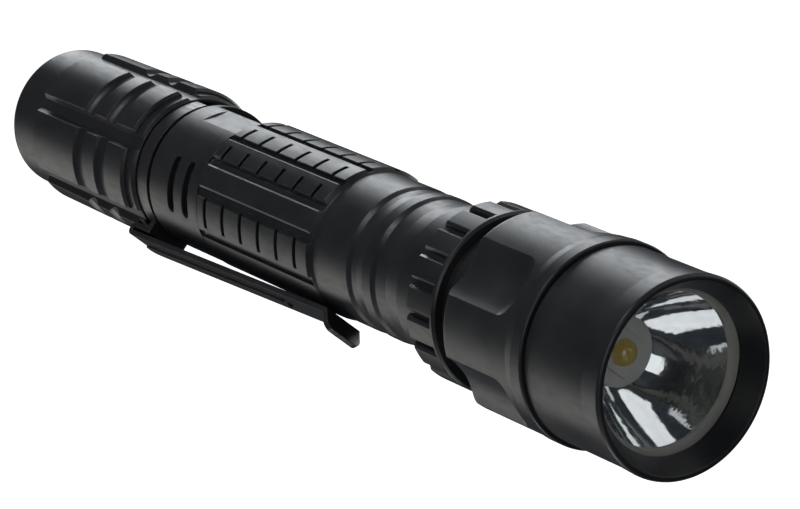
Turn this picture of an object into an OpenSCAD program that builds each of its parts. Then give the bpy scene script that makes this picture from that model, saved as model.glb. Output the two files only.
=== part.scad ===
// Tactical flashlight for two round cells: twisting head, grip tube, snap-on clip, screwed tail cap
// with a push switch. Stands on its tail. Origin at the centre of the tail's rest face, axis along
// +Z, light leaves towards +Z, pocket clip on the +X side. All sizes in millimetres.

/* [Cells] */
// Diameter of one round cell
cell_d = 14.2; // [13.5:0.1:18]
// Length of one cell with its raised contact
cell_l = 50.3; // [42:0.1:62]
// Diameter of the raised contact
cell_nub_d = 5.4; // [4:0.1:7]
// Height of the raised contact
cell_nub_h = 1.5; // [1:0.1:2]
// Gap between the cell and the tube bore
cell_gap = 0.25; // [0.15:0.05:0.6]

/* [Tube walls] */
// Wall of the tube at the tail thread
thread_wall = 1.5; // [1.2:0.05:2.5]
// Wall of the tube at the smooth rear part
smooth_wall = 2.6; // [2.2:0.05:4]
// Height of the grip blocks over the smooth rear part
grip_rise = 0.4; // [0.2:0.05:0.8]
// Height of the smooth saddle under the clip over the smooth rear part
saddle_rise = 0.1; // [0.05:0.05:0.15]
// Length of the smooth rear part
smooth_l = 13.4; // [12:0.1:20]
// Length of the grip
grip_l = 28.2; // [27:0.1:30]
// Chamfer on the shoulder beside the clip
shoulder_chamfer = 0.6; // [0.2:0.1:0.8]

/* [Grip pattern] */
// Depth of the lengthwise channels
channel_depth = 0.75; // [0.4:0.05:0.95]
// Width of the lengthwise channels
channel_w = 0.9; // [0.5:0.1:1.2]
// Angle from one block column to the next
column_step = 24; // [23:0.5:24.5]
// Number of block columns beside the plain strip
column_count = 9; // [6:1:9]
// Angle of the plain strip from the clip
strip_angle = -77.5; // [-79:0.5:-76]
// Angle the plain strip's first channel lies from its middle
strip_half = 11.8; // [11:0.1:12.2]
// Bevel on both sides of the plain strip
strip_bevel = 0.7; // [0.3:0.1:0.8]
// Angle across the wide block column beside the strip
wide_column = 34; // [28:1:36]
// Depth of the cross grooves
cross_depth = 0.5; // [0.2:0.05:0.7]
// Width of the cross grooves
cross_w = 0.75; // [0.4:0.05:1.2]
// Distance between cross grooves
cross_step = 4.45; // [4:0.05:4.6]
// Number of cross grooves
cross_count = 6; // [3:1:6]
// Distance of the first cross groove from the front end of the grip
cross_first = 3.7; // [2:0.1:4]
// Angle of each block column that a cross groove takes
cross_span = 14; // [8:1:17]
// Angle of the wide block column that a cross groove takes
cross_span_wide = 25; // [15:1:26]

/* [Finger slots] */
// Angle of the middle of the slots from the clip
slot_angle = -61; // [-90:1:-50]
// Angle from one round end of a slot to the other
slot_span = 38; // [20:1:44]
// Width of a slot
slot_w = 1.55; // [1:0.05:1.8]
// Depth of a slot
slot_depth = 0.9; // [0.4:0.1:1.2]
// Distance from the grip to the middle of the first slot
slot_first = 3.6; // [3:0.1:4]
// Distance between the two slots
slot_step = 3.7; // [3:0.1:4]

/* [Marking flat] */
// Angle of the flat from the clip
flat_angle = -170; // [-180:1:-165]
// Depth of the flat at its middle
flat_depth = 1.0; // [0.3:0.1:1.1]
// Angle of the narrow facet beside the flat
facet_angle = -131; // [-135:1:-128]
// Depth of the narrow facet at its middle
facet_depth = 0.2; // [0.05:0.05:0.3]

/* [Neck and collar] */
// Radius step of the rear neck below the smooth rear part
neck_rear_drop = 0.17; // [0.1:0.01:0.3]
// Depth of the two neck grooves
neck_groove_depth = 0.45; // [0.2:0.05:0.6]
// Length of the sloping front of a neck groove
neck_slope = 3.2; // [2:0.1:3.5]
// Length of the floor of a neck groove
neck_floor = 2.4; // [1.5:0.1:2.8]
// Length of the plain ring between the neck grooves
neck_ring = 1.9; // [1:0.1:2.5]
// Length of the steep rear wall of a neck groove
neck_wall = 0.8; // [0.4:0.1:1.2]
// Height of the collar over the smooth rear part
collar_rise = 1.85; // [1.2:0.05:2.2]
// Length of the straight part of the collar
collar_l = 5.8; // [3:0.1:6]
// Length of the cone behind the collar
collar_cone = 1.25; // [1:0.05:1.6]
// Number of notches round the collar
notch_count = 18; // [12:2:20]
// Angle of the first notch from the clip
notch_angle = -68; // [-78:1:-58]
// Width of a notch at its floor
notch_w = 0.8; // [0.4:0.1:1.2]
// Bevel on both sides of a notch
notch_bevel = 0.4; // [0.2:0.05:0.6]
// Depth of a notch
notch_depth = 0.95; // [0.4:0.05:1.2]
// Plain edge in front of the notches
notch_edge = 0.7; // [0.5:0.1:2.5]
// Gap between the collar and the head
collar_gap = 3.45; // [2.5:0.05:4]

/* [Head] */
// Wall of the head sleeve over the collar
sleeve_over = 1.18; // [0.8:0.02:1.6]
// Length of the head sleeve
sleeve_l = 16.9; // [16:0.1:18]
// Rounding of the sleeve's rear edge
sleeve_round = 0.9; // [0.3:0.1:0.9]
// Height of the lip at the front of the sleeve
sleeve_lip = 0.13; // [0.05:0.01:0.3]
// Length of the lip at the front of the sleeve
sleeve_lip_l = 3.2; // [1.5:0.1:3.6]
// Broken edge at the front of the lip
lip_edge = 0.15; // [0.1:0.05:0.5]
// Number of scallops round the sleeve
scallop_count = 5; // [4:1:6]
// Angle of the first scallop from the clip
scallop_angle = -89; // [-100:1:-80]
// Radius of the rounded cutter of the scallops
scallop_r = 9; // [7:0.1:10]
// Rounding at the end of the cutter
scallop_end_r = 3; // [2:0.1:4]
// Depth of the scallops
scallop_depth = 1.65; // [1:0.05:1.7]
// Length of the scallops
scallop_l = 13.6; // [12:0.1:14]
// Step of the bezel below the sleeve
bezel_drop = 0.43; // [0.2:0.01:0.6]
// Flare of the bezel at its rim
rim_flare = 0.15; // [0:0.01:0.3]
// Length of the flare
rim_flare_l = 3.5; // [1:0.1:5]
// Rounding of the rim
rim_round = 0.45; // [0.2:0.05:0.6]
// Gap between the sleeve and the bezel
bezel_gap = 0.15; // [0.1:0.05:0.6]

/* [Lens and reflector] */
// Radius of the clear opening in front of the lens
window_r = 10.2; // [9:0.1:10.4]
// Depth of the lens below the rim
window_depth = 2.85; // [1.5:0.05:4]
// Wall of the bezel at its front edge
rim_wall = 0.75; // [0.5:0.05:1]
// Thickness of the lens
lens_t = 1.6; // [1:0.1:2]
// Thickness of the lens gasket
gasket_t = 0.6; // [0.4:0.1:1]
// Thickness of the reflector's flange
flange_t = 1; // [0.6:0.1:1.2]
// Depth of the reflector
reflector_depth = 8; // [7:0.1:9]
// Focal length of the reflector's curve
focal_l = 2.48; // [2.2:0.02:2.6]
// Width of the light source's ceramic base
led_w = 5; // [3:0.1:5.2]
// Thickness of the light source's ceramic base
led_t = 0.7; // [0.4:0.1:1]
// Radius of the light source's dome
dome_r = 1.7; // [1:0.1:1.8]
// Thickness of the board under the light source
star_t = 1.3; // [0.8:0.1:2]
// Thickness of the heat sink's solid top
sink_top = 4.6; // [3:0.1:6]
// Thickness of the driver board
driver_t = 1.2; // [0.8:0.1:1.6]
// Height of the front contact
contact_h = 1; // [0.6:0.1:1.5]
// Room for parts on the driver board
driver_room = 4; // [3:0.1:5]

/* [Tail cap] */
// Length of the tail cap
cap_l = 35.3; // [35:0.1:38]
// Rounding of the rear edge
cap_round = 1.6; // [0.8:0.1:2]
// Height of the raised lands at their front edges
land_rise = 1.05; // [0.6:0.05:1.2]
// Fall of the lands towards the rear
land_fall = 0.2; // [0:0.05:0.3]
// Length of the plain part behind the lands
cap_plain = 8; // [5:0.1:9]
// Length of the low lip in front of the lands
cap_lip = 1.8; // [1:0.1:2.2]
// Number of channels round the cap
cap_channels = 6; // [4:1:8]
// Angle of the first channel from the clip
cap_channel_angle = -80; // [-90:1:-70]
// Width of a channel at its top
cap_channel_w = 3.1; // [2:0.1:4]
// Width of a channel at its floor
cap_channel_floor = 1.5; // [0.8:0.1:1.8]
// Distance of the first ring groove's middle from the front end
ring_first = 8.2; // [7:0.1:9]
// Distance between the two ring grooves
ring_step = 5.95; // [4.5:0.05:7]
// Radius of the ring grooves
ring_r = 1.83; // [1:0.05:2]
// Depth of the ring grooves
ring_depth = 0.75; // [0.4:0.05:0.8]
// Thread pitch of the tail cap
cap_pitch = 1; // [0.75:0.25:1.5]

/* [Switch] */
// Radius of the hole for the switch boot
boot_hole_r = 5.9; // [5:0.1:6.2]
// Depth of the boot below the rest face
boot_recess = 1; // [0.6:0.1:1.6]
// Thickness of the cap's end wall
end_wall = 3.5; // [3.2:0.1:4.5]
// Thickness of the boot's flange
boot_flange = 1; // [0.8:0.1:1.4]
// Thickness of the boot's skin
boot_skin = 1.1; // [0.8:0.1:1.3]
// Thickness of the washer over the boot
washer_t = 0.7; // [0.5:0.1:1]
// Length of the switch housing
housing_l = 6; // [5.5:0.1:8]
// Floor of the switch housing
housing_floor = 1; // [0.8:0.1:1.2]
// Travel of the push button
press_travel = 1.6; // [1:0.1:1.8]
// Radius of the plunger's stem
stem_r = 2.4; // [1.8:0.1:2.8]
// Radius of the plunger's pad and flange
pad_r = 4.1; // [3.6:0.1:4.2]
// Thickness of the plunger's pad and flange
pad_t = 1; // [0.8:0.1:1.1]
// Thickness of the switch board
switch_board_t = 1; // [0.8:0.1:1.6]
// Thickness of the threaded ring over the switch
switch_ring_t = 1.9; // [1.2:0.1:2.2]

/* [Springs] */
// Length of the tail spring as fitted
tail_spring_l = 7.2; // [6.4:0.1:9]
// Wire radius of the tail spring
tail_wire_r = 0.45; // [0.3:0.05:0.5]
// Coils of the tail spring
tail_coils = 5; // [4:1:6]
// Coil radius of the tail spring at its foot
tail_coil_r = 4.6; // [4:0.1:4.8]
// Coil radius of the tail spring at the cell
tail_tip_r = 3; // [2.4:0.1:3.6]
// Wire radius of the switch spring
press_wire_r = 0.2; // [0.1:0.05:0.25]
// Coils of the switch spring
press_coils = 4; // [3:1:4]
// Coil radius of the switch spring
press_coil_r = 3.3; // [2.8:0.1:3.6]

/* [Seals] */
// Radius of the round section of the rubber rings
seal_r = 0.4; // [0.3:0.05:0.45]
// Width of the grooves for the rubber rings
seal_groove_w = 1.3; // [1:0.1:1.5]

/* [Clip] */
// Width of the clip
clip_w = 6.4; // [4:0.1:7]
// Thickness of the clip's sheet
clip_t = 0.7; // [0.5:0.05:0.9]
// Length of the arm from its bend to the tab
arm_l = 48; // [42:0.1:49]
// Lean of the arm towards the tube
arm_lean = 1.6; // [1.4:0.05:1.75]
// Length of the flared tab
tab_l = 3; // [2.5:0.1:5]
// Angle of the flared tab
tab_flare = 46; // [25:1:50]
// Corner rounding of the tab
tab_round = 1.2; // [0.6:0.1:1.8]
// Inner radius of the bend
bend_r = 0.25; // [0.15:0.05:0.3]
// Width of the raised rib
rib_w = 2.2; // [1.2:0.1:3]
// Height of the raised rib
rib_h = 0.4; // [0.2:0.05:0.6]
// Length of the raised rib
rib_l = 33; // [20:0.5:38]
// Angle of the clip ring's opening
ring_open = 80; // [60:5:100]
// Wall of the clip ring
ring_wall = 0.75; // [0.5:0.05:0.85]
// Width of the clip ring
ring_w = 2.6; // [2:0.1:2.8]
// Length of the cord slot through the clip
cord_slot_l = 2.6; // [1.5:0.1:3]
// Width of the cord slot through the clip
cord_slot_w = 2.4; // [1:0.1:3]

/* [Fits] */
// Radial clearance of parts that turn or slide in each other
run_gap = 0.05; // [0.03:0.01:0.08]
// Clearance between parts that are fixed together
seat_gap = 0.05; // [0.03:0.01:0.1]
// Length of the tail thread
thread_l = 6; // [4:0.1:7]
// Depth of the relief beside the tail thread
thread_relief = 0.3; // [0.1:0.05:0.5]
// Gap left between the bend and the arm so that the arm can flex
flex_gap = 0.15; // [0.1:0.05:0.3]

/* [Hidden] */
// Overlap used where solids are joined or cut
eps = 0.05;
// Smoothness of round faces on screen
$fn = 96;

// Radii, from the cells outwards
bore_r = cell_d / 2 + cell_gap;
thread_r = bore_r + thread_wall;
relief_r = thread_r - thread_relief;
seat_r = thread_r + 0.15;
smooth_r = bore_r + smooth_wall;
grip_r = smooth_r + grip_rise;
saddle_r = smooth_r + saddle_rise;
neck_r = smooth_r + neck_rear_drop / 2;
neck_rear_r = smooth_r - neck_rear_drop;
neck_floor_r = neck_r - neck_groove_depth - neck_rear_drop / 2;
collar_r = smooth_r + collar_rise;
sleeve_r = collar_r + sleeve_over;
bezel_r = sleeve_r - bezel_drop;
front_thread_r = thread_r + 0.45;
front_seat_r = front_thread_r + 1;
cap_base_r = smooth_r;
land_r = cap_base_r + land_rise;
mouth_r = seat_r + 0.1;
bay_r = thread_r - 1.05;
ring_thread_r = thread_r - 0.75;
sink_r = front_thread_r + 0.15;
sink_flange_r = sink_r + 0.7;
spigot_bore_r = sink_flange_r + 0.1;
spigot_r = spigot_bore_r + 1.1;
lens_r = spigot_r - 0.45;

// Heights, from the rest face upwards
flange_z = end_wall;
washer_z = flange_z + boot_flange + seat_gap;
housing_z = washer_z + washer_t + seat_gap;
switch_board_z = housing_z + housing_l + seat_gap;
switch_ring_z = switch_board_z + switch_board_t + seat_gap;
tail_spring_z = switch_ring_z + 0.1;
cell_z = tail_spring_z + tail_spring_l + seat_gap;
cells_top = cell_z + 2 * cell_l;
contact_z = cells_top + seat_gap;
driver_z = contact_z + contact_h + seat_gap;
sink_room_z = driver_z + driver_t + driver_room;
sink_top_z = sink_room_z + sink_top;
star_z = sink_top_z + seat_gap;
led_z = star_z + star_t + seat_gap;
reflector_z = led_z + led_t - 0.2;
reflector_top = reflector_z + reflector_depth;
gasket_z = reflector_top + seat_gap;
lens_z = gasket_z + gasket_t + seat_gap;
window_z = lens_z + lens_t + seat_gap;
rim_z = window_z + window_depth;
tube_rear = cell_z - 1.8;
tube_front = cells_top - cell_nub_h + 0.2;
shoulder_z = cap_l + 0.4 + ring_w + 0.4;
grip_z = shoulder_z + smooth_l;
grip_top = grip_z + grip_l;
sleeve_z = tube_front - 4.8;
collar_top = sleeve_z - collar_gap;
collar_z = collar_top - collar_l;
cone_z = collar_z - collar_cone;
neck_front_z = cone_z - 3.7;
groove1_z = neck_front_z - neck_slope - neck_floor - neck_wall;
groove2_z = groove1_z - neck_ring - neck_slope / 2 - neck_floor / 2 - neck_wall;
sleeve_top = sleeve_z + sleeve_l;
bezel_z = sleeve_top + bezel_gap;
front_bore_z = tube_front + 0.2;
sink_seat_z = sink_top_z - 1.8;
spigot_top = reflector_top - flange_t - 1.6;
seal_z = cap_l - 3;
thread_z = seal_z - 1.9 - thread_l;
front_seal_z = sleeve_z + 1.3;
front_room_z = sleeve_z + 2.4;

// Vertex of the reflector's curve and its radius at a height
vertex_z = led_z + led_t + 0.3 - focal_l;
function mirror_r(z) = sqrt(4 * focal_l * (z - vertex_z));

// The clip's bend: centre distance and height
bend_mid = land_r + 0.53;
bend_z = cap_l - 0.7;
bend_out = bend_r + clip_t;

// A round tube or disc
module ring(r_out, r_in, h) {
  difference() {
    cylinder(r = r_out, h = h);
    translate([0, 0, -eps]) cylinder(r = r_in, h = h + 2 * eps);
  }
}

// A rubber ring of round section
module seal(r_mid, z_mid) {
  translate([0, 0, z_mid]) rotate_extrude() translate([r_mid, 0]) circle(r = seal_r);
}

// A spring drawn as closed coils; the coil radius runs from foot to tip
module spring(z, l, wire, coils, foot_r, tip_r) {
  step = (l - 2 * wire) / (coils - 1);
  for (i = [0:coils - 1])
    translate([0, 0, z + wire + i * step])
      rotate_extrude() translate([foot_r + (tip_r - foot_r) * i / (coils - 1), 0]) circle(r = wire);
}

// A cylinder with both edges broken by a chamfer
module chamfered(r, h, c) {
  rotate_extrude() polygon([[0, 0], [r - c, 0], [r, c], [r, h - c], [r - c, h], [0, h]]);
}

module tail_cap() {
  land_z = cap_l - cap_lip;
  color("#26282b") difference() {
    union() {
      rotate_extrude() difference() {
        union() {
          translate([0, cap_round]) square([cap_base_r, cap_l - cap_round - 0.5]);
          square([cap_base_r - cap_round, cap_l]);
          translate([cap_base_r - cap_round, cap_round]) circle(r = cap_round);
          polygon([
            [0, cap_plain], [land_r - land_fall - 0.3, cap_plain], [land_r - land_fall, cap_plain + 0.3],
            [land_r, land_z - 0.35], [land_r - 0.35, land_z], [0, land_z]
          ]);
          translate([0, land_z - 1]) square([cap_base_r + 0.35, cap_lip + 0.6]);
          polygon([
            [0, cap_l - 1], [cap_base_r + 0.35, cap_l - 1], [cap_base_r + 0.35, cap_l - 0.4],
            [cap_base_r - 0.05, cap_l], [0, cap_l]
          ]);
        }
        for (i = [0:1])
          translate([land_r - ring_depth + ring_r, cap_l - ring_first - i * ring_step])
            circle(r = ring_r);
      }
    }
    for (i = [0:cap_channels - 1])
      rotate([0, 0, cap_channel_angle + i * 360 / cap_channels])
        translate([cap_base_r, 0, cap_plain - 1])
          linear_extrude(cap_l)
            polygon([
              [0, -cap_channel_floor / 2], [land_rise, -cap_channel_w / 2],
              [land_rise + 1, -cap_channel_w / 2], [land_rise + 1, cap_channel_w / 2],
              [land_rise, cap_channel_w / 2], [0, cap_channel_floor / 2]
            ]);
    rotate_extrude() polygon([
      [0, -1], [boot_hole_r + 1.3, -1], [boot_hole_r + 0.7, 0], [boot_hole_r, 1.1],
      [boot_hole_r, end_wall], [bay_r, end_wall], [bay_r, switch_ring_z],
      [ring_thread_r, switch_ring_z], [ring_thread_r, switch_ring_z + switch_ring_t + 0.4],
      [thread_r + run_gap, switch_ring_z + switch_ring_t + 0.4],
      [thread_r + run_gap, seal_z - 1.5], [mouth_r, seal_z - 1.2], [mouth_r, cap_l - 0.4],
      [mouth_r + 0.4, cap_l], [mouth_r + 0.4, cap_l + 1], [0, cap_l + 1]
    ]);
  }
}

module switch_boot() {
  dome_r_out = boot_hole_r - 0.3;
  soft = 1.2;
  color("#151515") difference() {
    union() {
      translate([0, 0, flange_z]) cylinder(r = bay_r - seat_gap, h = boot_flange);
      rotate_extrude() {
        translate([0, boot_recess + soft]) square([dome_r_out, flange_z + 0.5 - boot_recess - soft]);
        translate([0, boot_recess]) square([dome_r_out - soft, 1.5]);
        translate([dome_r_out - soft, boot_recess + soft]) intersection() {
          circle(r = soft);
          translate([0, -soft]) square([soft, 2 * soft]);
        }
      }
    }
    translate([0, 0, boot_recess + boot_skin])
      cylinder(r = dome_r_out - boot_skin, h = flange_z + boot_flange);
  }
}

module boot_washer() {
  color("silver") translate([0, 0, washer_z]) ring(bay_r - seat_gap, pad_r + 0.5, washer_t);
}

module switch_housing() {
  color("#303030") translate([0, 0, housing_z]) difference() {
    chamfered(bay_r - seat_gap, housing_l, 0.3);
    translate([0, 0, -eps]) cylinder(r = stem_r + run_gap + 0.05, h = housing_l);
    translate([0, 0, housing_floor]) cylinder(r = pad_r + 0.3, h = housing_l);
  }
}

module plunger() {
  pad_z = boot_recess + boot_skin + seat_gap;
  flange2_z = housing_z + housing_floor + seat_gap;
  color("white") union() {
    translate([0, 0, pad_z]) cylinder(r = pad_r, h = pad_t);
    translate([0, 0, pad_z + eps]) cylinder(r = stem_r, h = flange2_z + pad_t - pad_z - eps);
    translate([0, 0, flange2_z]) cylinder(r = pad_r, h = pad_t);
  }
}

module press_spring() {
  foot = housing_z + housing_floor + 2 * seat_gap + pad_t;
  color("silver")
    spring(foot, switch_board_z - seat_gap - foot, press_wire_r, press_coils, press_coil_r, press_coil_r);
}

module switch_board() {
  color("#1d4f35") translate([0, 0, switch_board_z]) cylinder(r = bay_r - seat_gap, h = switch_board_t);
}

module switch_ring() {
  color("#b5954e") translate([0, 0, switch_ring_z]) difference() {
    ring(ring_thread_r - seat_gap, tail_coil_r + tail_wire_r + 0.5, switch_ring_t);
    for (a = [0, 180])
      rotate([0, 0, a + 90])
        translate([ring_thread_r - 1.7, 0, switch_ring_t - 1]) cylinder(r = 0.6, h = 2);
  }
}

module tail_spring() {
  color("silver")
    spring(tail_spring_z, tail_spring_l, tail_wire_r, tail_coils, tail_coil_r, tail_tip_r);
}

module tail_seal() {
  color("#101010") seal(mouth_r - run_gap - seal_r, seal_z);
}

// Outline of the tube in half section, without its bore
module tube_outline() {
  polygon([
    [0, tube_rear], [relief_r - 0.3, tube_rear], [relief_r, tube_rear + 0.3],
    [relief_r, thread_z], [thread_r, thread_z + thread_relief],
    [thread_r, seal_z - 1.4], [seat_r, seal_z - 1], [seat_r, shoulder_z],
    [smooth_r - shoulder_chamfer, shoulder_z], [smooth_r, shoulder_z + shoulder_chamfer],
    [smooth_r, grip_z - 0.5], [smooth_r - 0.45, grip_z - 0.35], [smooth_r - 0.45, grip_z],
    [grip_r - 0.25, grip_z], [grip_r, grip_z + 0.25], [grip_r, grip_top - 0.8],
    [neck_rear_r, grip_top], [neck_rear_r, groove2_z],
    [neck_floor_r, groove2_z + neck_wall], [neck_floor_r, groove2_z + neck_wall + neck_floor / 2],
    [neck_rear_r, groove1_z - neck_ring], [neck_rear_r, groove1_z],
    [neck_floor_r, groove1_z + neck_wall], [neck_floor_r, groove1_z + neck_wall + neck_floor],
    [neck_r, neck_front_z], [neck_r, cone_z], [collar_r, collar_z],
    [collar_r, collar_top - 0.3], [collar_r - 0.3, collar_top],
    [front_seat_r, collar_top], [front_seat_r, front_room_z - 0.3],
    [front_thread_r, front_room_z], [front_thread_r, tube_front - 0.4],
    [front_thread_r - 0.4, tube_front], [0, tube_front]
  ]);
}

// A lengthwise channel in the grip
module grip_channel(a, w) {
  rotate([0, 0, a])
    translate([grip_r - channel_depth, -w / 2, grip_z - 0.6])
      cube([channel_depth + 1, w, grip_l + 0.2]);
}

// A cross groove over one column, from angle a over the given span
module cross_groove(a, span, z) {
  rotate([0, 0, a])
    translate([0, 0, z - cross_w / 2])
      rotate_extrude(angle = span) translate([grip_r - cross_depth, 0]) square([cross_depth + 1, cross_w]);
}

// One slot that follows the tube, with round ends a hair narrower than its sides
module finger_slot(a, z) {
  for (s = [-1, 1])
    rotate([0, 0, a + s * slot_span / 2])
      translate([smooth_r - slot_depth - 0.02, 0, z]) rotate([0, 90, 0])
        cylinder(d = slot_w - 0.12, h = slot_depth + 1);
  rotate([0, 0, a - slot_span / 2])
    translate([0, 0, z - slot_w / 2])
      rotate_extrude(angle = slot_span)
        translate([smooth_r - slot_depth, 0]) square([slot_depth + 1, slot_w]);
}

module battery_tube() {
  wide_a = strip_angle + strip_half;
  last_a = strip_angle - strip_half - column_count * column_step;
  saddle_a = wide_a + wide_column;
  saddle_end = last_a + 360;
  color("#222427") difference() {
    rotate_extrude() tube_outline();
    translate([0, 0, tube_rear - 1]) cylinder(r = bore_r, h = tube_front - tube_rear + 2);
    // grooves for the two rubber rings
    translate([0, 0, seal_z - seal_groove_w / 2])
      ring(seat_r + 1, mouth_r - run_gap - 2 * seal_r, seal_groove_w);
    translate([0, 0, front_seal_z - seal_groove_w / 2])
      ring(front_seat_r + 1, front_seat_r + 0.05 - 2 * seal_r, seal_groove_w);
    // lengthwise channels of the grip
    for (i = [0:column_count]) grip_channel(strip_angle - strip_half - i * column_step, channel_w);
    grip_channel(wide_a, channel_w);
    grip_channel(saddle_a, 1.5 * channel_w);
    // bevels beside the plain strip
    for (s = [-1, 1])
      rotate([0, 0, strip_angle + s * (strip_half - 3)])
        translate([grip_r, 0, grip_z - 0.2])
          rotate([0, 0, s * 38]) translate([0.58 - strip_bevel, -1.2, 0]) cube([2, 2.4, grip_l - 0.05]);
    // cross grooves
    for (k = [0:cross_count - 1]) {
      z = grip_top - cross_first - k * cross_step;
      for (i = [0:column_count - 1])
        cross_groove(strip_angle - strip_half - i * column_step - 2 - cross_span, cross_span, z);
      cross_groove(wide_a + 2, cross_span_wide, z);
    }
    // smooth saddle under the clip
    rotate([0, 0, saddle_a])
      translate([0, 0, grip_z - 0.1])
        rotate_extrude(angle = saddle_end - saddle_a)
          translate([saddle_r, 0]) square([2, grip_l + 0.1]);
    // finger slots on both sides
    for (s = [-1, 1])
      for (k = [0:1]) finger_slot(s * slot_angle, grip_z - slot_first - k * slot_step);
    // marking flat and the facet beside it
    rotate([0, 0, flat_angle])
      translate([smooth_r - flat_depth, -10, shoulder_z + 1.6]) cube([5, 20, smooth_l - 2.1]);
    rotate([0, 0, facet_angle])
      translate([smooth_r - facet_depth, -10, shoulder_z + 4.4]) cube([5, 20, smooth_l - 4.9]);
    // notches of the collar
    for (i = [0:notch_count - 1])
      rotate([0, 0, notch_angle + i * 360 / notch_count])
        translate([collar_r - notch_depth, 0, cone_z])
          linear_extrude(collar_top - notch_edge - cone_z) polygon([
            [0, -notch_w / 2], [notch_depth - notch_bevel, -notch_w / 2],
            [notch_depth + 0.5, -notch_w / 2 - notch_bevel - 0.5],
            [notch_depth + 0.5, notch_w / 2 + notch_bevel + 0.5],
            [notch_depth - notch_bevel, notch_w / 2], [0, notch_w / 2]
          ]);
  }
}

module cell(z) {
  translate([0, 0, z]) chamfered(cell_d / 2, cell_l - cell_nub_h, 0.4);
}

module rear_cell() {
  color("#3a3d42") cell(cell_z);
}

module front_cell() {
  color("#3a3d42") cell(cell_z + cell_l);
}

module cell_contacts() {
  color("silver")
    for (k = [1:2])
      translate([0, 0, cell_z + k * cell_l - cell_nub_h + seat_gap])
        cylinder(d = cell_nub_d, h = cell_nub_h - seat_gap);
}

module clip_base() {
  base_z = cap_l + 0.4;
  inner_mid = bend_mid - bend_r - clip_t / 2;
  color("#1e1f21") union() {
    // open ring round the tube
    translate([0, 0, base_z]) rotate([0, 0, -180 + ring_open / 2])
      rotate_extrude(angle = 360 - ring_open) translate([seat_r + run_gap, 0]) square([ring_wall, ring_w]);
    // inner leg and the web that carries it, with the cord slot
    difference() {
      union() {
        translate([inner_mid - clip_t / 2, -clip_w / 2, bend_z])
          cube([clip_t, clip_w, base_z + ring_w - bend_z]);
        translate([seat_r + run_gap + ring_wall - 0.35, -clip_w / 2, base_z + ring_w - 1])
          cube([inner_mid - seat_r - run_gap - ring_wall + 0.35, clip_w, 1]);
      }
      translate([inner_mid - 2, -cord_slot_w / 2, bend_z + 0.5])
        cube([4, cord_slot_w, cord_slot_l]);
    }
    // half-round bend
    translate([bend_mid, 0, bend_z]) rotate([90, 0, 0]) difference() {
      translate([0, 0, -clip_w / 2]) cylinder(r = bend_out, h = clip_w);
      translate([0, 0, -clip_w / 2 - eps]) cylinder(r = bend_r, h = clip_w + 2 * eps);
      translate([-2, 0, -clip_w]) cube([4, 4, 2 * clip_w]);
    }
  }
}

module clip_arm() {
  color("#1e1f21") translate([bend_mid, 0, bend_z]) rotate([0, -arm_lean, 0]) union() {
    translate([bend_r, -clip_w / 2, flex_gap]) cube([clip_t, clip_w, arm_l - flex_gap]);
    // raised rib with round ends
    translate([bend_out - eps, 0, 2.2]) rotate([0, 90, 0]) {
      cylinder(d = rib_w, h = rib_h + eps);
      translate([-rib_l, 0, 0]) cylinder(d = rib_w, h = rib_h + eps);
      translate([-rib_l, -rib_w / 2, 0]) cube([rib_l, rib_w, rib_h + eps]);
    }
    // flared tab with round corners
    translate([bend_r, 0, arm_l]) rotate([0, tab_flare, 0]) {
      translate([0, -clip_w / 2, 0]) cube([clip_t, clip_w, tab_l - tab_round]);
      translate([0, -clip_w / 2 + tab_round, 0]) cube([clip_t, clip_w - 2 * tab_round, tab_l]);
      for (s = [-1, 1])
        translate([0, s * (clip_w / 2 - tab_round), tab_l - tab_round])
          rotate([0, 90, 0]) cylinder(r = tab_round, h = clip_t);
    }
  }
}

module front_seal() {
  color("#101010") seal(front_seat_r + 0.05 - seal_r, front_seal_z);
}

module head_sleeve() {
  lip_r = sleeve_r + sleeve_lip;
  color("#222427") difference() {
    rotate_extrude() difference() {
      union() {
        translate([0, sleeve_z + sleeve_round]) square([sleeve_r, sleeve_l - sleeve_round - 1]);
        translate([0, sleeve_z]) square([sleeve_r - sleeve_round, sleeve_l]);
        translate([sleeve_r - sleeve_round, sleeve_z + sleeve_round]) circle(r = sleeve_round);
        polygon([
          [0, sleeve_top - sleeve_lip_l], [sleeve_r, sleeve_top - sleeve_lip_l],
          [lip_r, sleeve_top - sleeve_lip_l + 1.2], [lip_r, sleeve_top - lip_edge],
          [lip_r - lip_edge, sleeve_top], [0, sleeve_top]
        ]);
        translate([0, sleeve_top - 1]) square([spigot_r, spigot_top - sleeve_top + 1]);
      }
      polygon([
        [0, sleeve_z - 1], [front_seat_r + 0.1, sleeve_z - 1], [front_seat_r + 0.1, front_room_z],
        [front_thread_r + run_gap, front_room_z + 0.3], [front_thread_r + run_gap, front_bore_z],
        [sink_r + seat_gap, front_bore_z], [sink_r + seat_gap, sink_seat_z],
        [spigot_bore_r, sink_seat_z], [spigot_bore_r, spigot_top + 1], [0, spigot_top + 1]
      ]);
    }
    for (i = [0:scallop_count - 1])
      rotate([0, 0, scallop_angle + i * 360 / scallop_count])
        translate([sleeve_r - scallop_depth + scallop_r, 0, sleeve_z - 1]) {
          cylinder(r = scallop_r, h = scallop_l + 1 - scallop_end_r);
          cylinder(r = scallop_r - scallop_end_r, h = scallop_l + 1);
          translate([0, 0, scallop_l + 1 - scallop_end_r]) rotate_extrude()
            translate([scallop_r - scallop_end_r, 0]) circle(r = scallop_end_r);
        }
  }
}

module front_contact() {
  color("#b5954e") translate([0, 0, contact_z]) chamfered(2.6, contact_h, 0.2);
}

module driver_board() {
  color("#1d4f35") {
    translate([0, 0, driver_z]) cylinder(r = sink_r - 1.35, h = driver_t);
    for (a = [20, 140, 260])
      rotate([0, 0, a]) translate([3.2, -1.1, driver_z + driver_t - eps]) cube([2.6, 2.2, 1.2 + eps]);
  }
}

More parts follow.
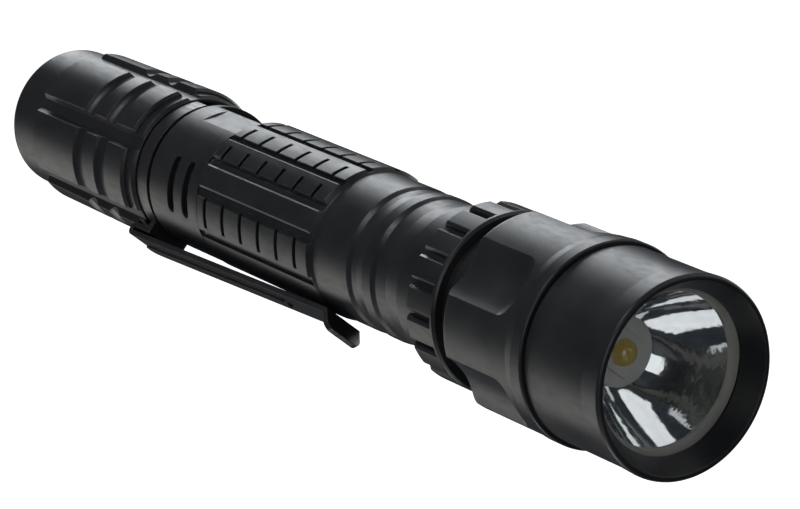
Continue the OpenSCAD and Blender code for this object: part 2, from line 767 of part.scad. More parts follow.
module driver_ring() {
  h = driver_z - seat_gap - (front_bore_z + 0.25);
  color("#b5954e") translate([0, 0, front_bore_z + 0.25]) difference() {
    ring(sink_r - 1.25, cell_nub_d / 2 + 2.5, h);
    for (a = [0, 180])
      rotate([0, 0, a]) translate([sink_r - 2.7, 0, -1]) cylinder(r = 0.6, h = 1.8);
  }
}

module heat_sink() {
  color("#8a8d90") rotate_extrude() polygon([
    [sink_r - 1.2, front_bore_z + 0.2], [sink_r, front_bore_z + 0.2], [sink_r, sink_seat_z + seat_gap],
    [sink_flange_r, sink_seat_z + seat_gap], [sink_flange_r, sink_top_z], [0, sink_top_z],
    [0, sink_room_z], [sink_r - 1.2, sink_room_z]
  ]);
}

module star_board() {
  color("#e9e9e4") translate([0, 0, star_z]) difference() {
    cylinder(r = sink_r - 0.2, h = star_t);
    for (a = [45, 225])
      rotate([0, 0, a]) translate([7.4, 0, -1]) cylinder(r = 1.2, h = star_t + 2);
  }
}

module star_screws() {
  color("silver")
    for (a = [45, 225])
      rotate([0, 0, a]) translate([7.4, 0, star_z + seat_gap]) {
        cylinder(r = 0.9, h = star_t);
        translate([0, 0, star_t]) difference() {
          chamfered(1.5, 0.8, 0.2);
          translate([-0.2, -2, 0.4]) cube([0.4, 4, 1]);
        }
      }
}

module led_base() {
  color("#f2efe6") translate([-led_w / 2, -led_w / 2, led_z]) cube([led_w, led_w, led_t]);
}

module led_dome() {
  color("#e8c850") translate([0, 0, led_z + led_t + seat_gap]) intersection() {
    sphere(r = dome_r);
    cylinder(r = dome_r + 1, h = dome_r + 1);
  }
}

module led_spacer() {
  s_r = mirror_r(reflector_z) + 0.9;
  color("#eeeeee") translate([0, 0, led_z]) difference() {
    cylinder(r = s_r, h = reflector_z - led_z - seat_gap);
    translate([-led_w / 2 - seat_gap, -led_w / 2 - seat_gap, -1])
      cube([led_w + 2 * seat_gap, led_w + 2 * seat_gap, 3]);
  }
}

module reflector() {
  steps = 14;
  lip_z = reflector_top - flange_t;
  out_r = mirror_r(lip_z) + 0.9;
  color("#dfe3e6") rotate_extrude() polygon(concat(
    [for (i = [0:steps])
      let (z = reflector_z + i * reflector_depth / steps) [mirror_r(z), z]],
    [[lens_r - seat_gap, reflector_top], [lens_r - seat_gap, lip_z], [spigot_bore_r - 0.6, lip_z],
     [min(out_r, spigot_bore_r - 0.6), lip_z - 1.5], [mirror_r(reflector_z) + 1.2, reflector_z + 0.6],
     [mirror_r(reflector_z) + 1.2, reflector_z]]
  ));
}

module lens_gasket() {
  color("#e6e6e0") translate([0, 0, gasket_z]) ring(lens_r - seat_gap, lens_r - 1.3, gasket_t);
}

module lens() {
  color("#cfe4ee", 0.35) translate([0, 0, lens_z]) chamfered(lens_r - seat_gap, lens_t, 0.2);
}

module bezel() {
  rim_r = bezel_r + rim_flare;
  color("#222427") rotate_extrude() difference() {
    union() {
      polygon([
        [0, bezel_z], [bezel_r - lip_edge, bezel_z], [bezel_r, bezel_z + lip_edge],
        [bezel_r, rim_z - rim_flare_l],
        [rim_r, rim_z - rim_round], [0, rim_z - rim_round]
      ]);
      translate([0, rim_z - 2 * rim_round]) square([rim_r - rim_round, 2 * rim_round]);
      translate([rim_r - rim_round, rim_z - rim_round]) circle(r = rim_round);
    }
    polygon([
      [0, bezel_z - 1], [spigot_r + run_gap, bezel_z - 1], [spigot_r + run_gap, spigot_top + 0.3],
      [lens_r, spigot_top + 0.3], [lens_r, window_z], [window_r, window_z],
      [rim_r - rim_wall, rim_z], [rim_r - rim_wall, rim_z + 1], [0, rim_z + 1]
    ]);
  }
}

tail_cap();
switch_boot();
boot_washer();
switch_housing();
plunger();
press_spring();
switch_board();
switch_ring();
tail_spring();
tail_seal();
battery_tube();
rear_cell();
front_cell();
cell_contacts();
clip_base();
clip_arm();
front_seal();
head_sleeve();
front_contact();
driver_board();
driver_ring();
heat_sink();
star_board();
star_screws();
led_base();
led_dome();
led_spacer();
reflector();
lens_gasket();
lens();
bezel();
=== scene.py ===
import math

import bpy
from mathutils import Matrix, Vector


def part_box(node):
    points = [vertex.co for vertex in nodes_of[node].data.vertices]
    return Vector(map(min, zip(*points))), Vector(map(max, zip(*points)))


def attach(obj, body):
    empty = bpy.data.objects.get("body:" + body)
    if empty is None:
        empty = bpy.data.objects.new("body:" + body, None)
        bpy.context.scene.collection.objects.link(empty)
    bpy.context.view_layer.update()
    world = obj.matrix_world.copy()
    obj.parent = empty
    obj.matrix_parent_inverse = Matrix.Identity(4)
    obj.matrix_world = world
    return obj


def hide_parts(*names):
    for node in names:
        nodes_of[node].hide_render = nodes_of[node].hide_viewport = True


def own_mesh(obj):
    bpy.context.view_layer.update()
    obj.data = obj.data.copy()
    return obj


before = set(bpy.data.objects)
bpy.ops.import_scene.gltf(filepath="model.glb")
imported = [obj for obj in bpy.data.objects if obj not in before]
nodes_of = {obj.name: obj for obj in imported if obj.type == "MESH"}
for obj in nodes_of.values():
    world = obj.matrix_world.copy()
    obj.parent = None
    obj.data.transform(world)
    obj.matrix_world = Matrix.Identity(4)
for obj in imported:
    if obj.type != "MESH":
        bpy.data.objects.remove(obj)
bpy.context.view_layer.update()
scene = bpy.context.scene
MM = 0.001

# ---------------------------------------------------------------- the studio
# A plain white table under the standing torch, and a camera above it that looks down the torch from
# beside the light, rolled so that the torch lies across the view with its head low on the right.
scene.view_settings.view_transform = "Standard"
camera_data = bpy.data.cameras.new("camera")
camera_data.sensor_width = 36.0
camera_data.lens = 196.95
camera_data.clip_start = 0.01
camera_data.clip_end = 20.0
camera = bpy.data.objects.new("camera", camera_data)
scene.collection.objects.link(camera)
camera_right = Vector((-0.527518, 0.646449, 0.551206))
camera_up = Vector((-0.841649, -0.485926, -0.235590))
camera_back = Vector((0.115549, -0.588200, 0.800418))
turn = Matrix((camera_right, camera_up, camera_back)).transposed().to_4x4()
camera.matrix_world = Matrix.Translation((0.06451, -0.32972, 0.53419)) @ turn
scene.camera = camera

table_white = bpy.data.materials.new("table_white")
table_white.use_nodes = True
shader = table_white.node_tree.nodes["Principled BSDF"]
shader.inputs["Base Color"].default_value = (0.85, 0.85, 0.85, 1.0)
shader.inputs["Roughness"].default_value = 0.9
shader.inputs["Emission Color"].default_value = (1.0, 1.0, 1.0, 1.0)
shader.inputs["Emission Strength"].default_value = 1.0

bpy.ops.object.select_all(action="DESELECT")
bpy.ops.mesh.primitive_plane_add(size=4.0, location=(0.0, 0.0, -0.0002))
floor = bpy.context.object
floor.name = "table"
floor.data.materials.append(table_white)
floor.visible_glossy = False
floor.visible_shadow = False

# The room is white to the eye and dim to the metal, so that the soft boxes alone draw the highlights.
world = bpy.data.worlds.new("room")
scene.world = world
world.use_nodes = True
room = world.node_tree
room_dim = room.nodes["Background"]
room_dim.inputs["Color"].default_value = (0.75, 0.85, 1.0, 1.0)
room_dim.inputs["Strength"].default_value = 0.035
room_white = room.nodes.new("ShaderNodeBackground")
room_white.inputs["Color"].default_value = (1.0, 1.0, 1.0, 1.0)
room_white.inputs["Strength"].default_value = 1.0
ray = room.nodes.new("ShaderNodeLightPath")
room_mix = room.nodes.new("ShaderNodeMixShader")
room.links.new(ray.outputs["Is Camera Ray"], room_mix.inputs[0])
room.links.new(room_dim.outputs[0], room_mix.inputs[1])
room.links.new(room_white.outputs[0], room_mix.inputs[2])
room.links.new(room_mix.outputs[0], room.nodes["World Output"].inputs["Surface"])


def soft_box(name, towards, distance, width, height, power, tint=(1.0, 1.0, 1.0)):
    """A rectangular lamp that hangs in one direction from the middle of the torch and faces it."""
    lamp = bpy.data.lights.new(name, "AREA")
    lamp.shape = "RECTANGLE"
    lamp.size = width
    lamp.size_y = height
    lamp.energy = power
    lamp.color = tint
    box = bpy.data.objects.new(name, lamp)
    scene.collection.objects.link(box)
    middle = Vector((0.0, 0.0, 0.075))
    away = Vector(towards).normalized()
    box.location = middle + away * distance
    box.rotation_euler = away.to_track_quat("Z", "Y").to_euler()
    box.visible_camera = False


# Two boxes below draw the bright band and the grey band along the torch. Three round it light its
# other sides, and three above fill the bowl of the reflector with bright streaks.
soft_box("upper_box", (-0.60, 0.02, -0.78), 1.0, 0.42, 0.5, 2.6, (0.93, 0.97, 1.0))
soft_box("lower_box", (0.60, 0.05, -0.78), 1.0, 0.5, 0.6, 1.0, (1.0, 0.97, 0.93))
sides = {"east": (0.88, 0.40, -0.15), "north": (-0.70, 0.66, -0.15), "south": (-0.30, -0.92, -0.15)}
for side, towards in sides.items():
    soft_box("side_" + side, towards, 1.0, 0.26, 0.5, 1.8)
soft_box("bowl_left", (-0.85, 0.10, 0.45), 1.0, 1.1, 1.3, 2.6)
soft_box("bowl_right", (0.80, 0.25, 0.50), 1.0, 0.6, 1.3, 1.4)
soft_box("bowl_front", (0.16, -0.60, 0.78), 1.3, 0.8, 1.0, 2.6)


# ---------------------------------------------------------------- tail cap
# The aluminium cap that screws on the tail, turned from bar, milled with six channels and two rings,
# blasted fine and hard anodised black. The same finish is on the tube, the head and the bezel.
def fresh(name):
    """A new finish with its nodes, links and shader."""
    finish = bpy.data.materials.new(name)
    finish.use_nodes = True
    tree = finish.node_tree
    return finish, tree.nodes, tree.links, tree.nodes["Principled BSDF"]


def speckle(nodes, links, scale, detail=4.0, stretch=(1.0, 1.0, 1.0)):
    """Fine random mottling in the object's own metres."""
    place = nodes.new("ShaderNodeTexCoord")
    stretched = nodes.new("ShaderNodeMapping")
    stretched.inputs["Scale"].default_value = stretch
    noise = nodes.new("ShaderNodeTexNoise")
    noise.inputs["Scale"].default_value = scale
    noise.inputs["Detail"].default_value = detail
    links.new(place.outputs["Object"], stretched.inputs["Vector"])
    links.new(stretched.outputs["Vector"], noise.inputs["Vector"])
    return noise.outputs["Fac"]


def between(nodes, links, value, low, high, start=0.3, stop=0.7):
    """Maps a mottling value to a range."""
    ranged = nodes.new("ShaderNodeMapRange")
    ranged.inputs["From Min"].default_value = start
    ranged.inputs["From Max"].default_value = stop
    ranged.inputs["To Min"].default_value = low
    ranged.inputs["To Max"].default_value = high
    links.new(value, ranged.inputs["Value"])
    return ranged.outputs["Result"]


def blended(nodes, links, value, first, second):
    """Mixes two colours, each a fixed one or another node's, by a value from nought to one."""
    mix = nodes.new("ShaderNodeMix")
    mix.data_type = "RGBA"
    for socket, colour in ((mix.inputs[6], first), (mix.inputs[7], second)):
        if isinstance(colour, tuple):
            socket.default_value = (*colour, 1.0)
        else:
            links.new(colour, socket)
    links.new(value, mix.inputs[0])
    return mix.outputs[2]


def sums(nodes, links, first, second, how="ADD"):
    """Adds, or otherwise joins, two values."""
    joined = nodes.new("ShaderNodeMath")
    joined.operation = how
    for socket, value in ((joined.inputs[0], first), (joined.inputs[1], second)):
        if isinstance(value, float):
            socket.default_value = value
        else:
            links.new(value, socket)
    return joined.outputs[0]


def broken_edges(nodes, links, radius):
    """The softened normal of a broken edge, and a mask that is one on sharp edges."""
    soft = nodes.new("ShaderNodeBevel")
    soft.samples = 6
    soft.inputs["Radius"].default_value = radius * MM
    shape = nodes.new("ShaderNodeNewGeometry")
    dot = nodes.new("ShaderNodeVectorMath")
    dot.operation = "DOT_PRODUCT"
    links.new(soft.outputs["Normal"], dot.inputs[0])
    links.new(shape.outputs["Normal"], dot.inputs[1])
    mask = between(nodes, links, dot.outputs["Value"], 0.0, 1.0, 0.995, 0.85)
    return soft.outputs["Normal"], mask


def bumped(nodes, links, height, depth, normal=None):
    """A bump of the given depth in millimetres."""
    bump = nodes.new("ShaderNodeBump")
    bump.inputs["Distance"].default_value = depth * MM
    bump.inputs["Strength"].default_value = 1.0
    links.new(height, bump.inputs["Height"])
    if normal is not None:
        links.new(normal, bump.inputs["Normal"])
    return bump.outputs["Normal"]


def tool_rings(nodes, links, pitch):
    """Fine tool rings along the torch's axis."""
    place = nodes.new("ShaderNodeTexCoord")
    wave = nodes.new("ShaderNodeTexWave")
    wave.bands_direction = "Z"
    wave.inputs["Scale"].default_value = 0.314 / (pitch * MM)
    wave.inputs["Distortion"].default_value = 0.6
    wave.inputs["Detail"].default_value = 2.0
    links.new(place.outputs["Object"], wave.inputs["Vector"])
    return wave.outputs["Fac"]


def black_anodised(name, ring_share):
    """Blasted and hard anodised aluminium, with a trace of bare metal on the sharpest edges."""
    finish, nodes, links, shader = fresh(name)
    cloud = speckle(nodes, links, 160.0, 3.0)
    grain = speckle(nodes, links, 9000.0, 2.0)
    scuff = speckle(nodes, links, 1400.0, 6.0, (1.0, 1.0, 0.35))
    soft_normal, edge = broken_edges(nodes, links, 0.22)
    shade = between(nodes, links, cloud, 0.0, 1.0)
    base = blended(nodes, links, shade, (0.009, 0.010, 0.0115), (0.014, 0.015, 0.0165))
    wear = sums(nodes, links, edge, between(nodes, links, scuff, 0.0, 0.55, 0.5, 0.72), "MULTIPLY")
    links.new(blended(nodes, links, wear, base, (0.10, 0.10, 0.105)), shader.inputs["Base Color"])
    smooth = between(nodes, links, cloud, 0.31, 0.37)
    rubbed = between(nodes, links, scuff, 0.0, 0.08, 0.45, 0.75)
    links.new(sums(nodes, links, smooth, rubbed), shader.inputs["Roughness"])
    rings = sums(nodes, links, tool_rings(nodes, links, 0.22), ring_share, "MULTIPLY")
    height = sums(nodes, links, sums(nodes, links, grain, 0.5, "MULTIPLY"), rings)
    links.new(bumped(nodes, links, height, 0.012, soft_normal), shader.inputs["Normal"])
    shader.inputs["IOR"].default_value = 1.55
    return finish


def coat(finish, *names):
    """Gives a finish to parts that keep their shape."""
    for part in names:
        for held in nodes_of[part].material_slots:
            held.material = finish


anodised = black_anodised("black_anodised", 0.25)
coat(anodised, "tail_cap")


# ---------------------------------------------------------------- switch boot
# The soft cap under the tail hole: moulded rubber with a thick flange that the washer clamps, and a
# thin domed face with a thumb ring.
def turned(name, start, steps, around=96):
    """A turned shape: a ring of edges carried from one radius and height to the next, in millimetres."""
    bpy.ops.object.select_all(action="DESELECT")
    radius, level = start
    bpy.ops.mesh.primitive_circle_add(vertices=around, radius=radius * MM, location=(0.0, 0.0, level * MM))
    piece = bpy.context.object
    piece.name = name
    bpy.ops.object.transform_apply(location=True, rotation=True, scale=True)
    bpy.ops.object.mode_set(mode="EDIT")
    bpy.ops.mesh.select_mode(type="EDGE")
    bpy.ops.mesh.select_all(action="SELECT")
    for next_radius, next_level in steps:
        rise = (0.0, 0.0, (next_level - level) * MM)
        bpy.ops.mesh.extrude_edges_move(TRANSFORM_OT_translate={"value": rise})
        grow = next_radius / radius
        bpy.ops.transform.resize(value=(grow, grow, 1.0), center_override=(0.0, 0.0, next_level * MM))
        radius, level = next_radius, next_level
    bpy.ops.mesh.select_all(action="SELECT")
    bpy.ops.mesh.remove_doubles(threshold=0.001 * MM)
    bpy.ops.mesh.select_all(action="DESELECT")
    bpy.ops.mesh.select_non_manifold()
    bpy.ops.mesh.fill_holes(sides=0)
    bpy.ops.mesh.select_all(action="SELECT")
    bpy.ops.mesh.normals_make_consistent(inside=False)
    bpy.ops.object.mode_set(mode="OBJECT")
    return piece


def finished(piece, finish, body, angle=35.0):
    """Shades the curved faces smooth, gives the piece its finish and hangs it on its body."""
    bpy.ops.object.select_all(action="DESELECT")
    piece.select_set(True)
    bpy.context.view_layer.objects.active = piece
    bpy.ops.object.shade_smooth_by_angle(angle=math.radians(angle))
    piece.data.materials.clear()
    piece.data.materials.append(finish)
    if body is not None:
        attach(piece, body)


def moulded(name, dark, light, low, high, grain_depth):
    """Moulded rubber or plastic: faint mottling, an even fine grain, softened edges."""
    finish, nodes, links, shader = fresh(name)
    cloud = speckle(nodes, links, 300.0, 4.0)
    grain = speckle(nodes, links, 6000.0, 3.0)
    soft_normal = broken_edges(nodes, links, 0.12)[0]
    shade = between(nodes, links, cloud, 0.0, 1.0)
    links.new(blended(nodes, links, shade, dark, light), shader.inputs["Base Color"])
    links.new(between(nodes, links, cloud, low, high), shader.inputs["Roughness"])
    links.new(bumped(nodes, links, grain, grain_depth, soft_normal), shader.inputs["Normal"])
    return finish


boot_low, boot_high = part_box("switch_boot")
face_z = boot_low[2] / MM
flange_top = boot_high[2] / MM
flange_r = boot_high[0] / MM
boot_r = 5.6
boot = turned("switch_boot_skin", (4.5, flange_top), [
    (flange_r, flange_top), (flange_r, flange_top - 0.88), (flange_r - 0.12, flange_top - 1.0),
    (boot_r + 0.1, flange_top - 1.0), (boot_r, flange_top - 1.1), (boot_r, face_z + 1.15),
    (boot_r - 0.12, face_z + 0.75), (boot_r - 0.4, face_z + 0.38), (boot_r - 0.8, face_z + 0.18),
    (boot_r - 1.5, face_z + 0.08), (3.75, face_z + 0.06), (3.6, face_z + 0.12), (3.5, face_z + 0.3),
    (3.2, face_z + 0.3), (3.1, face_z + 0.1), (2.9, face_z + 0.02), (1.5, face_z), (0.05, face_z),
    (0.05, face_z + 1.1), (4.3, face_z + 1.1), (4.5, face_z + 1.3), (4.5, flange_top),
])
rubber = moulded("black_rubber", (0.010, 0.010, 0.0105), (0.018, 0.018, 0.019), 0.62, 0.78, 0.012)
finished(boot, rubber, "cap")
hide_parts("switch_boot")
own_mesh(boot)


# ---------------------------------------------------------------- boot washer
# A plain washer, stamped from plated steel sheet and pressed down on the boot's flange.
def bare_metal(name, dark, light, low, high, pitch=None, grain_depth=0.004):
    """Bare or plated metal with soft mottling and, where it was turned, fine rings."""
    finish, nodes, links, shader = fresh(name)
    cloud = speckle(nodes, links, 500.0, 5.0)
    grain = speckle(nodes, links, 7000.0, 3.0, (1.0, 1.0, 0.3))
    soft_normal = broken_edges(nodes, links, 0.08)[0]
    shade = between(nodes, links, cloud, 0.0, 1.0)
    links.new(blended(nodes, links, shade, dark, light), shader.inputs["Base Color"])
    links.new(between(nodes, links, grain, low, high), shader.inputs["Roughness"])
    height = grain
    if pitch is not None:
        height = sums(nodes, links, grain, tool_rings(nodes, links, pitch))
    links.new(bumped(nodes, links, height, grain_depth, soft_normal), shader.inputs["Normal"])
    shader.inputs["Metallic"].default_value = 1.0
    return finish


coat(bare_metal("stamped_steel", (0.46, 0.46, 0.47), (0.60, 0.60, 0.61), 0.28, 0.42), "boot_washer")

# ---------------------------------------------------------------- switch housing and plunger
# The black housing is moulded in glass-filled plastic and slides into the cap against the washer.
# The white plunger has a pad under the boot and a flange that the small spring pushes down.
black_plastic = moulded("black_plastic", (0.016, 0.016, 0.017), (0.026, 0.026, 0.027), 0.45, 0.6, 0.006)
white_plastic = moulded("white_plastic", (0.70, 0.70, 0.67), (0.80, 0.80, 0.77), 0.35, 0.5, 0.003)
coat(black_plastic, "switch_housing")
coat(white_plastic, "plunger")


# ---------------------------------------------------------------- switch spring
# A light spring of round plated wire between the plunger's flange and the switch board.
def coiled(name, node, wire, tip_radius, turns):
    """A round wire wound up round the torch's axis, wide at its foot and narrower at its tip."""
    low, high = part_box(node)
    foot_radius = high[0] / MM - wire
    bottom = low[2] / MM + wire
    height = high[2] / MM - wire - bottom
    bpy.ops.object.select_all(action="DESELECT")
    bpy.ops.mesh.primitive_circle_add(
        vertices=14, radius=wire * MM, fill_type="NGON",
        location=(foot_radius * MM, 0.0, bottom * MM), rotation=(math.radians(90.0), 0.0, 0.0))
    piece = bpy.context.object
    piece.name = name
    bpy.ops.object.transform_apply(location=True, rotation=True, scale=True)
    bpy.ops.object.mode_set(mode="EDIT")
    bpy.ops.mesh.select_all(action="SELECT")
    for step in range(40 * turns):
        bpy.ops.mesh.extrude_region_move(
            TRANSFORM_OT_translate={"value": (0.0, 0.0, height * MM / (40 * turns))})
        bpy.ops.transform.rotate(value=-math.radians(9.0), orient_axis="Z", center_override=(0.0, 0.0, 0.0))
    bpy.ops.mesh.select_all(action="SELECT")
    bpy.ops.mesh.normals_make_consistent(inside=False)
    bpy.ops.object.mode_set(mode="OBJECT")
    for point in piece.data.vertices:
        share = min(max((point.co.z / MM - bottom) / height, 0.0), 1.0)
        across = math.hypot(point.co.x, point.co.y)
        pull = (across - (foot_radius - tip_radius) * MM * share) / across
        point.co.x *= pull
        point.co.y *= pull
    return piece


spring_steel = bare_metal("spring_wire", (0.52, 0.52, 0.53), (0.66, 0.66, 0.66), 0.18, 0.32)
small_spring = coiled("switch_spring_wire", "press_spring", 0.2, 3.3, 5)
finished(small_spring, spring_steel, "cap", 60.0)
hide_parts("press_spring")
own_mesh(small_spring)


# ---------------------------------------------------------------- switch board and its ring
# A round board of glass laminate under green mask, with gilded contact rings. A threaded brass ring
# with two key holes screws down on it and holds the whole switch in the cap.
def round_board(name, rings):
    """Green mask over laminate, with gilded rings of given middle radius and width."""
    finish, nodes, links, shader = fresh(name)
    cloud = speckle(nodes, links, 700.0, 4.0)
    weave = speckle(nodes, links, 4000.0, 2.0)
    place = nodes.new("ShaderNodeTexCoord")
    flat = nodes.new("ShaderNodeVectorMath")
    flat.operation = "MULTIPLY"
    flat.inputs[1].default_value = (1.0, 1.0, 0.0)
    links.new(place.outputs["Object"], flat.inputs[0])
    reach = nodes.new("ShaderNodeVectorMath")
    reach.operation = "LENGTH"
    links.new(flat.outputs["Vector"], reach.inputs[0])
    gilt = None
    for middle, width in rings:
        off = sums(nodes, links, reach.outputs["Value"], middle * MM, "SUBTRACT")
        near = sums(nodes, links, sums(nodes, links, off, 0.0, "ABSOLUTE"), width * MM / 2.0, "LESS_THAN")
        gilt = near if gilt is None else sums(nodes, links, gilt, near, "MAXIMUM")
    shade = between(nodes, links, cloud, 0.0, 1.0)
    mask = blended(nodes, links, shade, (0.010, 0.085, 0.045), (0.016, 0.12, 0.065))
    links.new(blended(nodes, links, gilt, mask, (0.75, 0.55, 0.22)), shader.inputs["Base Color"])
    links.new(gilt, shader.inputs["Metallic"])
    links.new(between(nodes, links, weave, 0.25, 0.4), shader.inputs["Roughness"])
    links.new(bumped(nodes, links, sums(nodes, links, weave, gilt), 0.008), shader.inputs["Normal"])
    return finish


coat(round_board("switch_board_mask", [(0.8, 1.6), (4.6, 1.6), (7.2, 0.8)]), "switch_board")
brass = bare_metal("turned_brass", (0.56, 0.40, 0.16), (0.68, 0.50, 0.23), 0.22, 0.36, 0.18)
coat(brass, "switch_ring")

# ---------------------------------------------------------------- tail spring
# The cone of heavy plated wire that stands on the switch board and presses the cells forward.
tail_coil = coiled("tail_spring_wire", "tail_spring", 0.45, 3.0, 5)
finished(tail_coil, spring_steel, "cap", 60.0)
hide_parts("tail_spring")

# ---------------------------------------------------------------- battery tube and its seals
# One long turned tube: the smooth rear with its slots and flat, the milled grip, the two grooves of
# the neck and the notched collar that the head runs over. Rubber rings seal it at both ends.
coat(anodised, "battery_tube")
ring_rubber = moulded("seal_rubber", (0.008, 0.008, 0.008), (0.014, 0.014, 0.014), 0.32, 0.5, 0.003)
coat(ring_rubber, "tail_seal", "front_seal")


# ---------------------------------------------------------------- cells
# Two round cells in line: a plated can in a shrunk printed sleeve, charcoal with a copper shoulder
# band and no lettering. The raised contacts are bare plated metal.
def cell_sleeve(name, node):
    """Charcoal sleeve, copper band near the contact end, bare can at both ends."""
    finish, nodes, links, shader = fresh(name)
    low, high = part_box(node)
    place = nodes.new("ShaderNodeTexCoord")
    parts = nodes.new("ShaderNodeSeparateXYZ")
    links.new(place.outputs["Object"], parts.inputs[0])
    level = parts.outputs["Z"]
    cloud = speckle(nodes, links, 400.0, 3.0)
    grain = speckle(nodes, links, 5000.0, 2.0)
    above = sums(nodes, links, level, low[2] + 0.7 * MM, "GREATER_THAN")
    below = sums(nodes, links, level, high[2] - 0.5 * MM, "LESS_THAN")
    covered = sums(nodes, links, above, below, "MULTIPLY")
    band = sums(nodes, links, level, high[2] - 12.0 * MM, "GREATER_THAN")
    shade = between(nodes, links, cloud, 0.0, 1.0)
    dark = blended(nodes, links, shade, (0.018, 0.019, 0.022), (0.026, 0.028, 0.032))
    printed = blended(nodes, links, band, dark, (0.42, 0.17, 0.07))
    links.new(blended(nodes, links, covered, (0.58, 0.58, 0.57), printed), shader.inputs["Base Color"])
    links.new(between(nodes, links, covered, 1.0, 0.2, 0.0, 1.0), shader.inputs["Metallic"])
    links.new(between(nodes, links, grain, 0.22, 0.36), shader.inputs["Roughness"])
    height = sums(nodes, links, sums(nodes, links, grain, 0.1, "MULTIPLY"), covered)
    links.new(bumped(nodes, links, height, 0.05), shader.inputs["Normal"])
    return finish


coat(cell_sleeve("rear_cell_sleeve", "rear_cell"), "rear_cell")
coat(cell_sleeve("front_cell_sleeve", "front_cell"), "front_cell")
coat(bare_metal("nickel_plate", (0.56, 0.55, 0.53), (0.68, 0.67, 0.64), 0.16, 0.3), "cell_contacts")


# ---------------------------------------------------------------- pocket clip
# Spring steel, blackened: an open ring that snaps round the tube, a web, the inner leg with its cord
# slot, the hairpin bend, and the long arm with a raised rib and a flared tab.
def blackened_steel(name):
    """Black oxide on spring steel, smoother than the anodising and lightly rubbed on its edges."""
    finish, nodes, links, shader = fresh(name)
    cloud = speckle(nodes, links, 220.0, 4.0)
    scratch = speckle(nodes, links, 2200.0, 5.0, (1.0, 1.0, 0.12))
    soft_normal, edge = broken_edges(nodes, links, 0.15)
    shade = between(nodes, links, cloud, 0.0, 1.0)
    base = blended(nodes, links, shade, (0.010, 0.010, 0.011), (0.016, 0.016, 0.018))
    rubbed = sums(nodes, links, edge, between(nodes, links, scratch, 0.0, 0.6, 0.45, 0.75), "MULTIPLY")
    links.new(blended(nodes, links, rubbed, base, (0.16, 0.16, 0.165)), shader.inputs["Base Color"])
    links.new(between(nodes, links, scratch, 0.27, 0.4), shader.inputs["Roughness"])
    links.new(bumped(nodes, links, scratch, 0.006, soft_normal), shader.inputs["Normal"])
    shader.inputs["IOR"].default_value = 1.6
    return finish


blackened = blackened_steel("blackened_steel")
coat(blackened, "clip_base", "clip_arm")

# ---------------------------------------------------------------- head sleeve and bezel
# The turned head sleeve with its five scallops, and the bezel that screws in front of it and traps
# the lens. Both are anodised black like the tube.
coat(anodised, "head_sleeve", "bezel")

# ---------------------------------------------------------------- front contact and driver
# A brass button meets the front cell. It stands on the driver's round board, whose parts face
# forward, and a threaded brass ring with two key holes holds the board in the heat sink.
coat(brass, "front_contact", "driver_ring")
coat(round_board("driver_board_mask", [(0.8, 1.6), (5.6, 1.0)]), "driver_board")

# ---------------------------------------------------------------- heat sink and light source
# The bare turned aluminium pill carries a white masked metal board, held by two slotted screws. The
# light source on it has a pale ceramic base and a clear dome over a yellow layer, and a white spacer
# centres the reflector on it.
coat(bare_metal("bare_aluminium", (0.50, 0.51, 0.52), (0.62, 0.63, 0.64), 0.3, 0.44, 0.2), "heat_sink")
coat(moulded("white_mask", (0.72, 0.72, 0.70), (0.82, 0.82, 0.80), 0.3, 0.45, 0.003), "star_board")
coat(bare_metal("screw_steel", (0.50, 0.50, 0.51), (0.64, 0.64, 0.65), 0.2, 0.34), "star_screws")
coat(moulded("ceramic", (0.78, 0.77, 0.72), (0.86, 0.85, 0.80), 0.5, 0.65, 0.003), "led_base")
coat(moulded("spacer_white", (0.74, 0.74, 0.72), (0.84, 0.84, 0.82), 0.4, 0.55, 0.004), "led_spacer")

finish, nodes, links, shader = fresh("dome_silicone")
cloud = speckle(nodes, links, 900.0, 3.0)
shade = between(nodes, links, cloud, 0.0, 1.0)
links.new(blended(nodes, links, shade, (0.80, 0.58, 0.10), (0.90, 0.70, 0.18)), shader.inputs["Base Color"])
links.new(between(nodes, links, cloud, 0.04, 0.1), shader.inputs["Roughness"])
shader.inputs["Coat Weight"].default_value = 1.0
shader.inputs["Coat Roughness"].default_value = 0.03
coat(finish, "led_dome")

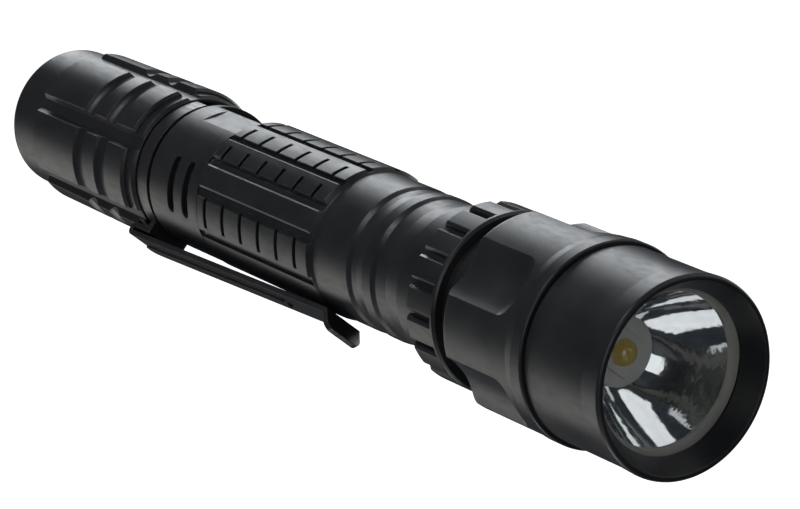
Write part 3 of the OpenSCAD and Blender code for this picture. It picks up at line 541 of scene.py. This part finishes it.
# ---------------------------------------------------------------- reflector
# A deep bowl spun from aluminium and coated with bright evaporated metal, very slightly dimpled. It
# drops into the head's spigot and hangs by its flange.
finish, nodes, links, shader = fresh("bright_mirror")
cloud = speckle(nodes, links, 350.0, 3.0)
ripple = speckle(nodes, links, 900.0, 2.0)
shade = between(nodes, links, cloud, 0.0, 1.0)
links.new(blended(nodes, links, shade, (0.80, 0.81, 0.82), (0.90, 0.91, 0.92)), shader.inputs["Base Color"])
links.new(between(nodes, links, cloud, 0.03, 0.07), shader.inputs["Roughness"])
links.new(bumped(nodes, links, ripple, 0.012), shader.inputs["Normal"])
shader.inputs["Metallic"].default_value = 1.0
mirror_bright = finish
bowl_low, bowl_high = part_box("reflector")
bowl_z = bowl_low[2] / MM
bowl_top = bowl_high[2] / MM
flange_r = bowl_high[0] / MM
focus = 2.48
mouth_r = 9.95
vertex_z = bowl_top - mouth_r * mouth_r / (4.0 * focus)


def bowl_r(level):
    """Radius of the bowl's parabola at a height."""
    return math.sqrt(4.0 * focus * (level - vertex_z))


levels = [bowl_z + (bowl_top - bowl_z) * (step / 40.0) ** 1.35 for step in range(41)]
inner = [(bowl_r(level), level) for level in levels]
outer_r = min(bowl_r(bowl_top - 1.0) + 0.9, flange_r - 0.35)
outer = [
    (flange_r - 0.1, bowl_top), (flange_r, bowl_top - 0.1),
    (flange_r, bowl_top - 0.9), (flange_r - 0.1, bowl_top - 1.0),
    (outer_r, bowl_top - 1.0), (outer_r, bowl_top - 2.5),
]
outer += [(bowl_r(bowl_z + rise) + 1.2, bowl_z + rise) for rise in (4.0, 3.2, 2.4, 1.6, 0.8)]
outer += [(bowl_r(bowl_z) + 1.2, bowl_z + 0.4), (bowl_r(bowl_z) + 1.2, bowl_z), (bowl_r(bowl_z), bowl_z)]
bowl = turned("reflector_bowl", inner[0], inner[1:] + outer, 128)
finished(bowl, mirror_bright, "head")
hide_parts("reflector")

# ---------------------------------------------------------------- lens and its gasket
# A disc of toughened glass with a faint coating, on a soft pale gasket that the bezel squeezes.
coat(moulded("pale_silicone", (0.62, 0.61, 0.55), (0.74, 0.73, 0.67), 0.45, 0.6, 0.004), "lens_gasket")
finish, nodes, links, shader = fresh("lens_glass")
cloud = speckle(nodes, links, 120.0, 3.0)
links.new(between(nodes, links, cloud, 0.0, 0.02), shader.inputs["Roughness"])
shade = between(nodes, links, cloud, 0.0, 1.0)
links.new(blended(nodes, links, shade, (0.95, 0.98, 0.98), (1.0, 1.0, 1.0)), shader.inputs["Base Color"])
shader.inputs["Transmission Weight"].default_value = 1.0
shader.inputs["IOR"].default_value = 1.47
coat(finish, "lens")
